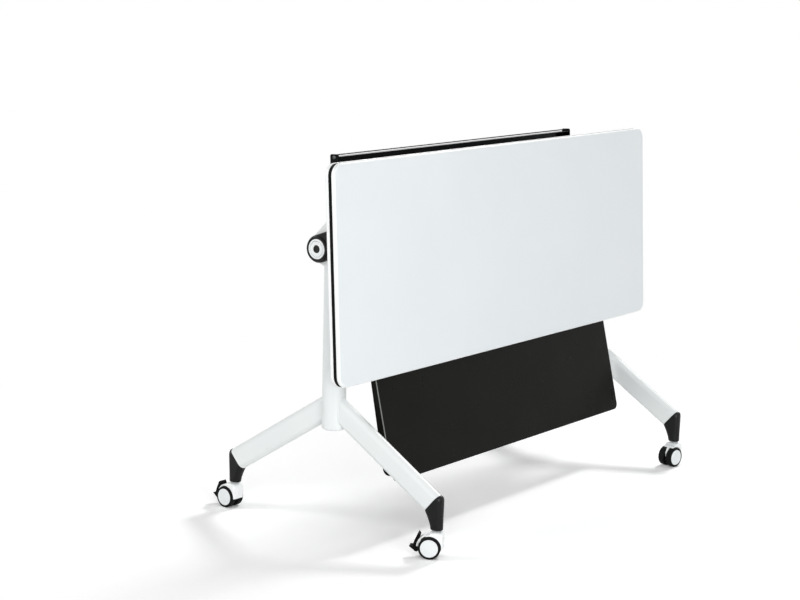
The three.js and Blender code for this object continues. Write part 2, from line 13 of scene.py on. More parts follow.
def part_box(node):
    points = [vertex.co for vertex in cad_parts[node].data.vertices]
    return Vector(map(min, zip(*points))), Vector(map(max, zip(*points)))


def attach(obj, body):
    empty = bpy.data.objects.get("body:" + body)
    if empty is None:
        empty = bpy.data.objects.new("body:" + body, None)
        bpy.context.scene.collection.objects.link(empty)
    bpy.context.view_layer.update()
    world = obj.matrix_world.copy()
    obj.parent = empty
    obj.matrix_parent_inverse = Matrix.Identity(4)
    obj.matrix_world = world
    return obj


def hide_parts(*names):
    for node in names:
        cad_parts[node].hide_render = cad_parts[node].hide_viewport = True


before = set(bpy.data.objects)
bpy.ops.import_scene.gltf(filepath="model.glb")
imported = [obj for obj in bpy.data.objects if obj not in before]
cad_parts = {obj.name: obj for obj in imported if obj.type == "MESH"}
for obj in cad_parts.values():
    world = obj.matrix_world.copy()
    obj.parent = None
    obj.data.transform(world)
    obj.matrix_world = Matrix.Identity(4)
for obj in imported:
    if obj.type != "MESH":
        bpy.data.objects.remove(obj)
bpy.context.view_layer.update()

MM = 0.001


# Sizes, in millimetres
BOARD_LENGTH, BOARD_DEPTH = 1200, 450
BOARD_CORNER = 25
UNDERSIDE, WORK_FACE = 67, 92  # heights over the hub, top level
BOARD_MIDDLE = -47  # middle of the board, from the hub towards the user
BAND = 2.4  # thickness of the edge band
BAND_ROUND = 2.8
STRIP_LOW, STRIP_HIGH = 75.3, 83.7

LEAN_TURN = 86.7  # degrees from level to stowed
ARM_INNER, ARM_OUTER = 526.8, 537.8
COVER_INNER, COVER_OUTER, COVER_RING = 538.1, 548.1, 551.1

COLUMN_RADIUS = 25
HEAD_RADIUS = 26
BEAM_RADIUS = 19

LEG_SLOPE = math.radians(32.2)
LEG_REACH, LEG_DROP = 261, 111.6  # column axis to the leg's end, and its height
LEG_HALF_HEIGHT, LEG_HALF_WIDTH = 25, 12.5
SWIVEL_REACH = 273
LEG_CUT = math.tan(math.radians(9))  # the leg's lower cut leans out by 9 degrees from square
BOOT_RADIUS, BOOT_BOTTOM, BOOT_ROUND = 11.3, 58, 2.6
BOOT_TOE = 4.2  # how far the foot reaches past that radius on the inner side
BOOT_SHOULDER = 121  # height at which the boot's outer wall is straight
BUTTON_RADIUS = 7.7

WHEEL_RADIUS, WHEEL_TRAIL = 23, 14
TYRE = 4.4  # thickness of the tyre
WELL_RADIUS, RIM_RADIUS = 24.5, 27.5
HOOD_TOP, HOOD_LEAD, HOOD_HALF = 55, 12.8, 15
PIN_HALF = 8  # the lever turns on a pin this long each way
TRAILS = {"front_left": 118, "rear_left": 87, "front_right": 171, "rear_right": 95}
BRAKED = ("front_left", "rear_left")

PANEL_HALF, PANEL_LENGTH, PANEL_CORNER, PANEL_BEND = 451, 274.5, 15, 3
HINGE_Y, HINGE_Z = -221, 56
HINGE_X = 380

SHELF_HALF = 446
SHELF_FRONT, SHELF_BACK = 181.5, 29.5
SHELF_BOTTOM, SHELF_LIP = -43, -21


def middle_mm(node):
    low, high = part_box(node)
    return (low + high) / 2 / MM


COLUMN_X = middle_mm("column_right").x
COLUMN_Y = middle_mm("column_right").y
HUB_HEIGHT = middle_mm("pivot_disc_left").z
COLUMN_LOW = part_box("column_left")[0].z / MM
COLUMN_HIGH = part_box("column_left")[1].z / MM


# Places of the piece frames in the row frame, still in millimetres
def turn(degrees, axis):
    return Matrix.Rotation(math.radians(degrees), 4, axis)


STANDING = Matrix.Identity(4)
TOP = Matrix.Translation((0, COLUMN_Y, HUB_HEIGHT)) @ turn(LEAN_TURN, "X")
PANEL = TOP @ Matrix.Translation((0, HINGE_Y, HINGE_Z)) @ turn(-LEAN_TURN - 13.6, "X")
CORNERS = {}
CASTERS = {}
for side, hand in ((-1, "left"), (1, "right")):
    for way, end in ((-1, "front"), (1, "rear")):
        corner = f"{end}_{hand}"
        post = Matrix.Translation((side * COLUMN_X, COLUMN_Y, 0))
        CORNERS[corner] = post @ turn(0 if end == "front" else 180, "Z")
        swivel = Matrix.Translation((side * COLUMN_X, COLUMN_Y + way * SWIVEL_REACH, 0))
        CASTERS[corner] = swivel @ turn(TRAILS[corner], "Z")

# Axes of drawing planes: a shape drawn in x and y and run along z, laid another way
RUN_X = Matrix(((0, 0, 1, 0), (1, 0, 0, 0), (0, 1, 0, 0), (0, 0, 0, 1)))
RUN_Y = Matrix(((1, 0, 0, 0), (0, 0, -1, 0), (0, 1, 0, 0), (0, 0, 0, 1)))


# Finishes
def linear(code):
    """sRGB hex to a linear colour."""
    parts = [int(code[i:i + 2], 16) / 255 for i in (1, 3, 5)]
    return [c / 12.92 if c <= 0.04045 else ((c + 0.055) / 1.055) ** 2.4 for c in parts] + [1]


def add_node(tree, kind, settings, inputs):
    """One node, with its settings, and its inputs set or linked."""
    made = tree.nodes.new(kind)
    for key, value in settings.items():
        setattr(made, key, value)
    for key, value in inputs.items():
        if isinstance(value, bpy.types.NodeSocket):
            tree.links.new(value, made.inputs[key])
        else:
            made.inputs[key].default_value = value
    return made


def per_metre(size_mm):
    """Texture scale that gives features of this size on coordinates in metres."""
    return 1 / (size_mm * MM)


def finish(name, colours, patch_mm, grain, grain_mm, relief, gloss, shader, painted_fold_highlight=None):
    """A surface with two near colours in broad patches, a fine relief and uneven gloss.

    Where a piece has the highlight attribute, its colour goes over to a pale one: a painted highlight.
    """
    material = bpy.data.materials.new(name)
    material.use_nodes = True
    tree = material.node_tree
    tree.nodes.clear()
    place = add_node(tree, "ShaderNodeTexCoord", {}, {}).outputs["Object"]
    patches = add_node(tree, "ShaderNodeTexNoise", {}, {
        "Vector": place, "Scale": per_metre(patch_mm), "Detail": 3.0, "Roughness": 0.55})
    ramp = add_node(tree, "ShaderNodeValToRGB", {}, {"Fac": patches.outputs["Fac"]})
    ramp.color_ramp.elements[0].position, ramp.color_ramp.elements[1].position = 0.3, 0.7
    ramp.color_ramp.elements[0].color = linear(colours[0])
    ramp.color_ramp.elements[1].color = linear(colours[1])
    colour = ramp.outputs["Color"]
    # Painted highlight: a pale colour laid over the places the attribute marks, standing in for light caught there.
    if painted_fold_highlight:
        painted_highlight_mask = add_node(tree, "ShaderNodeAttribute", {"attribute_name": "painted_fold_highlight"}, {})
        colour = add_node(tree, "ShaderNodeMix", {"data_type": "RGBA"}, {
            0: painted_highlight_mask.outputs["Fac"], 6: colour, 7: linear(painted_fold_highlight)}).outputs[2]
    if grain == "pebble":
        texture = add_node(tree, "ShaderNodeTexVoronoi", {"feature": "SMOOTH_F1"}, {
            "Vector": place, "Scale": per_metre(grain_mm), "Smoothness": 0.6})
        height = texture.outputs["Distance"]
    else:
        texture = add_node(tree, "ShaderNodeTexNoise", {}, {
            "Vector": place, "Scale": per_metre(grain_mm), "Detail": 2.0, "Roughness": 0.6})
        height = texture.outputs["Fac"]
    bump = add_node(tree, "ShaderNodeBump", {}, {
        "Height": height, "Strength": relief, "Distance": grain_mm * MM * 0.1})
    smudge = add_node(tree, "ShaderNodeTexNoise", {}, {
        "Vector": place, "Scale": per_metre(patch_mm * 0.37), "Detail": 4.0})
    rough = add_node(tree, "ShaderNodeMapRange", {}, {
        "Value": smudge.outputs["Fac"], "From Min": 0.3, "From Max": 0.7,
        "To Min": gloss[0], "To Max": gloss[1]})
    face = add_node(tree, "ShaderNodeBsdfPrincipled", {}, {
        "Base Color": colour, "Roughness": rough.outputs["Result"],
        "Normal": bump.outputs["Normal"], **shader})
    add_node(tree, "ShaderNodeOutputMaterial", {}, {"Surface": face.outputs["BSDF"]})
    return material


# Melamine laminate, pressed against a pearl-textured plate: white, satin, with a faint pebble.
# The plate's 0.6 mm pebble is too fine to show, so it is drawn at 2 mm.
melamine_white = finish("melamine_laminate_pressed_white", ("#e7edf0", "#eaeff1"), 260,
                        "pebble", 2.0, 0.12, (0.34, 0.46), {"IOR": 1.5})

# ABS edge band, extruded and buffed: a little glossier and colder than the laminate, and lighter: partly its own
# white, partly a painted highlight for its rounded edges.
abs_band_white_and_highlight = finish("abs_edge_band_extruded_white", ("#f6f8f8", "#f8f9f9"), 120,
                        "noise", 5.0, 0.1, (0.26, 0.36), {"IOR": 1.53})

# Soft PVC strip, extruded: black, even, nearly matt.
pvc_strip_black = finish("pvc_strip_extruded_black", ("#060606", "#0b0b0b"), 60,
                         "noise", 3.0, 0.15, (0.42, 0.55), {"Specular IOR Level": 0.08})

# Polyester powder coat, white, on steel and castings: hard, semi-gloss, with slight orange peel.
# The peel's 2 mm waves are drawn at 3 mm.
powder_white = finish("powder_coat_sprayed_white", ("#e7ebeb", "#eaeeed"), 180,
                      "noise", 3.0, 0.12, (0.26, 0.36), {"IOR": 1.5})

# The same powder on the cast arms, a little softer, with longer waves; its whiter colour is painted light, lifting
# arms that sit in the board's shade.
casting_white_painted_lit = finish("powder_coat_on_casting_painted_lit_white", ("#f2f5f4", "#f5f7f6"), 90,
                       "noise", 5.0, 0.14, (0.28, 0.38), {"IOR": 1.5})

# Polyester powder coat, black fine texture, on folded sheet: dark, satin, a sandy grain that
# swallows most reflections, with a pale painted highlight along the folds. The 0.3 mm sand is drawn at 1.6 mm.
powder_black = finish("powder_coat_sprayed_black", ("#0e0f0c", "#131410"), 140,
                      "noise", 1.6, 0.25, (0.26, 0.34), {"Specular IOR Level": 0.06}, "#7d7f7b")

# Gloss enamel on the shelf's sheet: black, smooth, mirrors the room at a low angle.
enamel_black = finish("enamel_stoved_gloss_black", ("#040404", "#080808"), 140,
                      "noise", 4.0, 0.05, (0.14, 0.2), {"Specular IOR Level": 0.1})

# Polypropylene, moulded in a spark-eroded tool: black, with a fine even grain.
# The 0.2 mm grain is drawn at 1.2 mm.
moulded_black = finish("polypropylene_moulded_black", ("#0b0c0c", "#111212"), 40,
                       "pebble", 1.2, 0.25, (0.3, 0.4), {"Specular IOR Level": 0.24})

# Glass-filled nylon, moulded: black and quite dull, the fibres break up its gloss.
# The 0.1 mm fibre marks are drawn at 0.9 mm.
lever_black = finish("nylon_glass_filled_moulded_black", ("#050505", "#0a0a0a"), 20,
                     "noise", 0.9, 0.2, (0.5, 0.62), {"Specular IOR Level": 0.06})

# Nylon, moulded in a polished tool: white, smooth and softly glossy.
nylon_white = finish("nylon_moulded_white", ("#f4f7f8", "#f7f9fa"), 30,
                     "noise", 4.0, 0.08, (0.22, 0.32), {"IOR": 1.53})

# Polypropylene, moulded: the wheels' discs, a shade greyer and duller than the nylon.
disc_white = finish("polypropylene_moulded_white", ("#e9edee", "#ecf0f1"), 24,
                    "noise", 4.0, 0.08, (0.3, 0.42), {"IOR": 1.49})

# Polyurethane tyre, cast: black, dull, dusted lighter where it has rolled.
tyre_black = finish("polyurethane_cast_black", ("#0b0c0c", "#121313"), 14,
                    "noise", 1.5, 0.4, (0.48, 0.66), {"Specular IOR Level": 0.1})

# Steel screws, zinc plated and passivated black: dark grey metal, patchy.
black_zinc = finish("steel_zinc_passivated_black", ("#4c4e4f", "#606263"), 5,
                    "noise", 0.8, 0.1, (0.3, 0.46), {"Metallic": 1.0})

# Steel, zinc plated: grey metal with cloudy passivation.
zinc_steel = finish("steel_zinc_plated", ("#b4b8ba", "#c6c9ca"), 9,
                    "noise", 1.0, 0.1, (0.26, 0.42), {"Metallic": 1.0})


# Shaping
def loft(rings, ring_shut=False):
    """Skin over rings of equally many points; its ends are closed, or joined to each other."""
    shape = bmesh.new()
    rows = [[shape.verts.new(point) for point in ring] for ring in rings]
    count = len(rows[0])
    pairs = list(zip(rows, rows[1:]))
    if ring_shut:
        pairs.append((rows[-1], rows[0]))
    for near, far in pairs:
        for i in range(count):
            j = (i + 1) % count
            shape.faces.new((near[i], near[j], far[j], far[i]))
    if not ring_shut:
        shape.faces.new(rows[0][::-1])
        shape.faces.new(rows[-1])
    return tidied(shape)


def tidied(shape, reach=0.0005):
    bmesh.ops.remove_doubles(shape, verts=shape.verts, dist=reach)
    bmesh.ops.dissolve_degenerate(shape, edges=shape.edges, dist=reach)
    bmesh.ops.recalc_face_normals(shape, faces=shape.faces)
    return shape


def turned(profile, steps=72):
    """A closed profile of (radius, height) turned about Z; it may start and end on the axis."""
    shape = bmesh.new()
    rows = []
    for radius, height in profile:
        if radius < 1e-6:
            rows.append([shape.verts.new((0, 0, height))])
            continue
        angles = [2 * math.pi * i / steps for i in range(steps)]
        rows.append([shape.verts.new((radius * math.cos(a), radius * math.sin(a), height)) for a in angles])
    on_axis = len(rows[0]) == 1 and len(rows[-1]) == 1
    pairs = list(zip(rows, rows[1:])) + ([] if on_axis else [(rows[-1], rows[0])])
    for near, far in pairs:
        for i in range(steps):
            j = (i + 1) % steps
            if len(near) == 1 and len(far) == 1:
                continue
            if len(near) == 1:
                shape.faces.new((near[0], far[j], far[i]))
            elif len(far) == 1:
                shape.faces.new((near[i], near[j], far[0]))
            else:
                shape.faces.new((near[i], near[j], far[j], far[i]))
    return tidied(shape)


def pipe_profile(radius, low, high, low_round, high_round, steps=8):
    return ([(0, low)] + arc(radius - low_round, low + low_round, low_round, -90, 0, steps)
            + arc(radius - high_round, high - high_round, high_round, 0, 90, steps) + [(0, high)])


def drill(radius, low, high, steps=64):
    """A plain drum about Z, for cutting holes and for pins that end inside another piece."""
    return turned([(0, low), (radius, low), (radius, high), (0, high)], steps)


def run(outline, low, high, lay=STANDING):
    """An outline in x and y, run along z, then laid another way."""
    shape = loft([[(x, y, low) for x, y in outline], [(x, y, high) for x, y in outline]])
    return placed(shape, lay)


def block(x0, x1, y0, y1, z0, z1):
    return run([(x0, y0), (x1, y0), (x1, y1), (x0, y1)], z0, z1)


def placed(shape, place):
    bmesh.ops.transform(shape, matrix=place, verts=shape.verts)
    bmesh.ops.recalc_face_normals(shape, faces=shape.faces)
    return shape


def arc(cx, cy, radius, start, end, steps):
    """Points on an arc, angles in degrees."""
    angles = [math.radians(start + (end - start) * i / steps) for i in range(steps + 1)]
    return [(cx + radius * math.cos(a), cy + radius * math.sin(a)) for a in angles]


def rounded(length, depth, radius, steps=14):
    """Outline of a rectangle with round corners, about the origin."""
    w, h = length / 2 - radius, depth / 2 - radius
    return (arc(w, h, radius, 0, 90, steps) + arc(-w, h, radius, 90, 180, steps)
            + arc(-w, -h, radius, 180, 270, steps) + arc(w, -h, radius, 270, 360, steps))


def as_object(shape, name):
    mesh = bpy.data.meshes.new(name)
    shape.to_mesh(mesh)
    shape.free()
    return bpy.data.objects.new(name, mesh)


def combined(first, second, how):
    """Two shapes made one: UNION, DIFFERENCE or INTERSECT."""
    base, tool = as_object(first, "base"), as_object(second, "tool")
    for each in (base, tool):
        bpy.context.scene.collection.objects.link(each)
    step = base.modifiers.new("shape", "BOOLEAN")
    step.operation, step.object, step.solver = how, tool, "EXACT"
    result = bmesh.new()
    result.from_object(base, bpy.context.evaluated_depsgraph_get())
    for each in (base, tool):
        mesh = each.data
        bpy.data.objects.remove(each)
        bpy.data.meshes.remove(mesh)
    return tidied(result)


def softened(shape, radius, steps=3, sharper_than=35, keep=None):
    """Rounds the edges that turn more than an angle; keep picks among them."""
    bmesh.ops.dissolve_limit(shape, angle_limit=math.radians(0.5), verts=shape.verts, edges=shape.edges)
    edges = [e for e in shape.edges if len(e.link_faces) == 2
             and math.degrees(e.calc_face_angle()) > sharper_than and (keep is None or keep(e))]
    bmesh.ops.bevel(shape, geom=edges, offset=radius, offset_type="OFFSET", segments=steps,
                    profile=0.5, affect="EDGES", clamp_overlap=True)
    return tidied(shape)


def made(name, shape, place, material, body, slot, *nodes):
    """The finished piece: its mesh in the row frame, its finish, its body and what it stands for."""
    placed(shape, Matrix.Scale(MM, 4) @ place)
    piece = as_object(shape, name)
    bpy.context.scene.collection.objects.link(piece)
    piece.data.materials.append(material)
    return fitted(piece, body, slot, *nodes)


def fitted(piece, body, slot, *nodes):
    mesh = piece.data
    mesh.polygons.foreach_set("use_smooth", [True] * len(mesh.polygons))
    mesh.set_sharp_from_angle(angle=math.radians(38))
    flats = piece.modifiers.new("flat_faces", "WEIGHTED_NORMAL")
    flats.keep_sharp = True
    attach(piece, body)
    if nodes:
        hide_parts(*nodes)
    return piece


# Table top: drawn level, hub axis at the origin, y towards the user
def board_ring(inset, height):
    outline = rounded(BOARD_LENGTH - 2 * inset, BOARD_DEPTH - 2 * inset, BOARD_CORNER - inset)
    return [(x, y + BOARD_MIDDLE, height) for x, y in outline]


core = loft([board_ring(BAND + 0.4, UNDERSIDE), board_ring(BAND, UNDERSIDE + 0.4),
             board_ring(BAND, WORK_FACE - 0.4), board_ring(BAND + 0.4, WORK_FACE)])
made("top_board", core, TOP, melamine_white, "top", "laminate", "tabletop_board")

# Edge band: rounded over to both faces, with a groove for the strip
turn_over = [(x, y) for x, y in arc(BAND_ROUND, BAND_ROUND, BAND_ROUND, 180, 252, 6)]
band_profile = ([(i, UNDERSIDE + h) for i, h in reversed(turn_over)]
                + [(0, STRIP_LOW - 0.5), (0.5, STRIP_LOW), (BAND - 0.3, STRIP_LOW)]
                + [(BAND - 0.3, STRIP_HIGH), (0.5, STRIP_HIGH), (0, STRIP_HIGH + 0.5)]
                + [(i, WORK_FACE - h) for i, h in turn_over]
                + [(BAND - 0.05, WORK_FACE - 0.6), (BAND - 0.05, UNDERSIDE + 0.6)])
band = loft([board_ring(inset, height) for inset, height in band_profile], ring_shut=True)
made("edge_band", band, TOP, abs_band_white_and_highlight, "top", "laminate")


def flared(radius, foot_front, foot_user, foot_height, steps=40):
    """A round boss at the origin that spreads in straight flanks to a foot, in (y, z)."""
    front = math.atan2(foot_height, -foot_front) + math.acos(radius / math.hypot(foot_front, foot_height))
    user = math.atan2(foot_height, foot_user) - math.acos(radius / math.hypot(foot_user, foot_height))
    boss = arc(0, 0, radius, math.degrees(front), math.degrees(user) + 360, steps)
    return [(-foot_front, foot_height)] + boss + [(foot_user, foot_height)]


def rounded_over(outline_at, low, high, radius, steps=5):
    """An outline run along z whose far edge is rounded over; outline_at(inset) gives it inset."""
    rings = [[(x, y, low) for x, y in outline_at(0)]]
    for inset, rise in arc(radius, -radius, radius, 180, 90, steps):
        rings.append([(x, y, high + rise) for x, y in outline_at(inset)])
    return loft(rings)


def disc_profile():
    """Half-section of the pivot disc: a deep ring groove in its face, a bore for the button."""
    face, bore = 3.4, BUTTON_RADIUS + 0.4
    profile = [(bore, 0), (20.2, 0), (20.6, 0.4), (20.6, face - 0.9), (20.3, face - 0.3), (19.6, face)]
    profile += [(16.9, face), (16.7, face - 3), (15.8, face - 3), (15.6, face)]
    return profile + [(bore + 0.8, face), (bore + 0.3, face - 0.2), (bore, face - 0.6)]


for side, hand in ((-1, "left"), (1, "right")):
    # Pieces are drawn for the +X end and mirrored for the other
    end = TOP @ Matrix.Scale(side, 4, (1, 0, 0))
    web = placed(rounded_over(lambda i: flared(30 - i, 62 - i, 102 - i, 66.7 - i * 0.01),
                              ARM_INNER, ARM_OUTER, 2.2), RUN_X)
    flange = softened(block(ARM_OUTER - 45, ARM_OUTER - 1, -62, 102, 63, 66.7), 0.8)
    shaft_hole = placed(drill(10.3, ARM_INNER - 5, ARM_OUTER + 5), turn(90, "Y"))
    arm = combined(combined(web, flange, "UNION"), shaft_hole, "DIFFERENCE")
    made(f"arm_{hand}", arm, end, casting_white_painted_lit, "top", "white_coat", f"support_arm_{hand}")

    plate = placed(rounded_over(lambda i: flared(28.3 - i, 8 - i, 50 - i, 66.7 - i * 0.01),
                                COVER_INNER, COVER_OUTER, 2.6), RUN_X)
    collar = turned([(21, COVER_OUTER - 1), (26, COVER_OUTER - 1), (26, COVER_RING - 1.2),
                     (25.6, COVER_RING - 0.4), (24.8, COVER_RING), (22, COVER_RING),
                     (21.3, COVER_RING - 0.3), (21, COVER_RING - 1)])
    collar = placed(collar, turn(90, "Y"))
    cover = combined(plate, collar, "UNION")
    for radius, depth in ((21, COVER_OUTER - 0.7), (BUTTON_RADIUS + 0.5, COVER_INNER - 5)):
        cover = combined(cover, placed(drill(radius, depth, COVER_RING + 9), turn(90, "Y")), "DIFFERENCE")
    made(f"cover_{hand}", cover, end, moulded_black, "top", "black_plastic", f"pivot_cover_{hand}")

    disc = placed(turned(disc_profile()), Matrix.Translation((547.7, 0, 0)) @ turn(90, "Y"))
    made(f"disc_{hand}", disc, end, nylon_white, "top", "white_plastic", f"pivot_disc_{hand}")

    tip = COVER_RING + 0.6
    wide = BUTTON_RADIUS
    button = turned([(0, tip - 9), (wide, tip - 9), (wide, tip - 0.9), (wide - 0.3, tip - 0.3), (wide - 1, tip),
                     (wide - 1.8, tip), (wide - 2.6, tip - 0.5), (0, tip - 0.9)], 48)
    made(f"button_{hand}", placed(button, turn(90, "Y")), end, moulded_black, f"button_{hand}",
         "black_plastic", f"release_button_{hand}")

    outer = SHELF_HALF - 2.3
    front = SHELF_FRONT - 48
    hanger = combined(block(outer - 3, outer, front - 70, front, SHELF_BOTTOM + 2.3, 66.7),
                      block(outer - 25, outer, front - 70, front, 63.7, 66.7), "UNION")
    made(f"hanger_{hand}", softened(hanger, 0.9), end, powder_black, "top", "black_coat",
         f"shelf_bracket_{hand}")

    left, right = HINGE_X - 15, HINGE_X + 15
    foot = block(left, right, HINGE_Y - 5, HINGE_Y + 40, 63.7, 66.7)
    ear = block(left, right, HINGE_Y - 5, HINGE_Y + 5, HINGE_Z, 65)
    barrel = placed(turned([(0, left), (6.6, left), (7, left + 0.4), (7, right - 0.4), (6.6, right), (0, right)]),
                    Matrix.Translation((0, HINGE_Y, HINGE_Z)) @ turn(90, "Y"))
    bore = placed(drill(4.3, left - 2, right + 2), Matrix.Translation((0, HINGE_Y, HINGE_Z)) @ turn(90, "Y"))
    hinge = combined(softened(combined(foot, ear, "UNION"), 0.8), barrel, "UNION")
    hinge = combined(hinge, bore, "DIFFERENCE")
    made(f"hinge_{hand}", hinge, end, powder_black, "top", "black_coat", f"panel_hinge_{hand}")


def shelf_tray():
    """Folded sheet: a floor with four lips, end plates that stand past the lip, and a wire rail between them."""
    lip = SHELF_FRONT - 2.9
    tray = block(-SHELF_HALF, SHELF_HALF, SHELF_BACK, lip, SHELF_BOTTOM, SHELF_LIP)
    lids = [f for f in tray.faces if f.calc_center_median().z > SHELF_LIP - 1]
    bmesh.ops.delete(tray, geom=lids, context="FACES_ONLY")
    bends = [e for e in tray.edges if len(e.link_faces) == 2]
    bmesh.ops.bevel(tray, geom=bends, offset=3, offset_type="OFFSET", segments=5, profile=0.5,
                    affect="EDGES", clamp_overlap=True)
    bmesh.ops.recalc_face_normals(tray, faces=tray.faces)
    bmesh.ops.solidify(tray, geom=tray.faces[:], thickness=2)
    tray = softened(tray, 0.5, 2, 60)
    ear = SHELF_FRONT + 2.3
    plate = ([(lip - 26, SHELF_BOTTOM + 0.1)] + arc(ear - 4, SHELF_BOTTOM + 4, 4, 270, 360, 6)
             + arc(ear - 4, SHELF_LIP - 4, 4, 0, 90, 6) + [(lip - 26, SHELF_LIP - 0.1)])
    for side in (-1, 1):
        inner, outer = sorted((side * (SHELF_HALF - 2.2), side * (SHELF_HALF + 0.1)))
        tray = combined(tray, softened(run(plate, inner, outer, RUN_X), 0.4, 2, 60), "UNION")
    rail = turned(pipe_profile(1.3, -SHELF_HALF + 1, SHELF_HALF - 1, 0.2, 0.2, 2), 20)
    place = Matrix.Translation((0, ear - 1.8, (SHELF_BOTTOM + SHELF_LIP) / 2)) @ turn(90, "Y")
    return combined(tray, placed(rail, place), "UNION")


made("shelf_tray", shelf_tray(), TOP, enamel_black, "top", "black_coat", "book_shelf")


# Modesty panel: hangs along -Z from its hinge axis, its face to -Y
def hanging_panel():
    """Folded sheet: a flat face with deepening side flanges, and a curl round the hinge rod."""
    bottom = -PANEL_LENGTH + PANEL_CORNER
    flange = [(0, -7), (0, bottom)] + arc(21 - 14, bottom + 14, 14, -90, 0, 12) + [(12, -7)]
    sheet = block(-PANEL_HALF, PANEL_HALF, 0, 1.5, bottom, -7)
    for side in (-1, 1):
        inner, outer = sorted((side * (PANEL_HALF - 1.5), side * PANEL_HALF))
        sheet = combined(sheet, run(flange, inner, outer, RUN_X), "UNION")

    def on_bend(edge):
        near, far = (v.co for v in edge.verts)
        return (abs(near.x - far.x) < 0.01 and abs(abs(near.x) - PANEL_HALF) < 0.01
                and max(abs(near.y), abs(far.y)) < 0.01)

    def on_rim(edge):
        return all(v.co.z < -7.5 for v in edge.verts)

    sheet = softened(sheet, PANEL_BEND, 6, 50, on_bend)
    relief = PANEL_HALF - 2 * PANEL_BEND
    round_x = PANEL_HALF - 0.6 * PANEL_BEND - PANEL_CORNER
    skirt = ([(relief, bottom), (relief, bottom + 9), (-relief, bottom + 9), (-relief, bottom)]
             + arc(-round_x, bottom, PANEL_CORNER, 180, 270, 10) + arc(round_x, bottom, PANEL_CORNER, 270, 360, 10))
    for strip in (run(skirt, -1.5, 0, RUN_Y), block(-relief, relief, 0, 1.5, -16, 0)):
        sheet = combined(sheet, strip, "UNION")
    sheet = softened(sheet, 0.5, 2, 50, on_rim)
    curl = placed(turned([(0, -PANEL_HALF), (6.6, -PANEL_HALF), (7, -PANEL_HALF + 0.4),
                          (7, PANEL_HALF - 0.4), (6.6, PANEL_HALF), (0, PANEL_HALF)], 48), turn(90, "Y"))
    sheet = combined(sheet, curl, "UNION")
    bore = placed(drill(4.3, -PANEL_HALF - 5, PANEL_HALF + 5), turn(90, "Y"))
    sheet = combined(sheet, bore, "DIFFERENCE")
    for x in (-HINGE_X, HINGE_X):
        sheet = combined(sheet, block(x - 16, x + 16, -9, 9, -9, 9), "DIFFERENCE")
    # Painted highlight: the round of each side fold is marked, and there the pale colour stands in for the light the
    # bend catches.
    painted_highlight_mask = sheet.verts.layers.float.new("painted_fold_highlight")
    for vert in sheet.verts:
        aside, back = abs(vert.co.x) - PANEL_HALF + PANEL_BEND, PANEL_BEND - vert.co.y
        on_fold = min(aside, back) > 0.3 * PANEL_BEND and abs(math.hypot(aside, back) - PANEL_BEND) < 0.05
        vert[painted_highlight_mask] = 1.0 if on_fold else 0.0
    return sheet


made("panel", hanging_panel(), PANEL, powder_black, "panel", "black_coat", "modesty_panel")
rod_half = PANEL_HALF - 8
rod = turned([(0, -rod_half), (3.4, -rod_half), (4, -rod_half + 0.6), (4, rod_half - 0.6),
              (3.4, rod_half), (0, rod_half)], 40)
made("hinge_rod", placed(rod, turn(90, "Y")), PANEL, zinc_steel, "panel", "steel", "panel_hinge_rod")


# Frame
beam_half = COLUMN_X - 30.3
beam = turned([(0, -537.5), (9.4, -537.5), (10, -536.9), (10, -beam_half), (BEAM_RADIUS - 1, -beam_half),
               (BEAM_RADIUS, -beam_half + 1), (BEAM_RADIUS, beam_half - 1), (BEAM_RADIUS - 1, beam_half),
               (10, beam_half), (10, 536.9), (9.4, 537.5), (0, 537.5)])
vent = drill(3, -30, -12)
beam = combined(placed(beam, turn(90, "Y")), vent, "DIFFERENCE")
made("beam", beam, Matrix.Translation((0, COLUMN_Y, HUB_HEIGHT)), powder_white, "frame", "white_coat", "crossbeam")

for side, hand in ((-1, "left"), (1, "right")):
    post = Matrix.Translation((side * COLUMN_X, COLUMN_Y, 0))
    tube = turned(pipe_profile(COLUMN_RADIUS, COLUMN_LOW, COLUMN_HIGH, 5, 0.6), 96)
    made(f"post_{hand}", tube, post, powder_white, "frame", "white_coat", f"column_{hand}")

    knuckle = placed(turned(pipe_profile(HEAD_RADIUS, -30, 41.5, 2, 2), 96), turn(90, "Y"))
    knuckle = placed(knuckle, Matrix.Scale(side, 4, (1, 0, 0)) @ Matrix.Translation((0, 0, HUB_HEIGHT)))
    neck = turned(pipe_profile(COLUMN_RADIUS, COLUMN_HIGH + 0.3, HUB_HEIGHT, 0.6, 0.6), 96)
    head = softened(combined(knuckle, neck, "UNION"), 1.6, 3, 25,
                    lambda e: not e.is_convex)
    made(f"head_{hand}", head, post, powder_white, "frame", "white_coat", f"column_head_{hand}")

LEG_ALONG = Vector((0, -math.cos(LEG_SLOPE), -math.sin(LEG_SLOPE)))
LEG_UP = Vector((0, -math.sin(LEG_SLOPE), math.cos(LEG_SLOPE)))
LEG_END = Vector((0, -LEG_REACH, LEG_DROP))


def flat_oval(half_height, half_width, steps=24):
    """Points (width, height) round a flat oval, from its top round through +width."""
    straight = half_height - half_width
    upper = [(x, y + straight) for y, x in arc(0, 0, half_width, -90, 90, steps)]
    lower = [(x, y - straight) for y, x in arc(0, 0, half_width, 90, 270, steps)]
    return upper + lower


def on_column(width, height, radius):
    """Where the leg's wall line at that place in its section meets the column, at that radius."""
    reach = math.sqrt(radius ** 2 - width ** 2)
    base = LEG_END + LEG_UP * height
    back = (-reach - base.y) / LEG_ALONG.y
    point = base + LEG_ALONG * back
    return (width, point.y, point.z)


def on_cut(width, height):
    """A place in the leg's section, on its slanting lower cut."""
    return LEG_END + LEG_UP * height + LEG_ALONG * (height * LEG_CUT) + Vector((width, 0, 0))


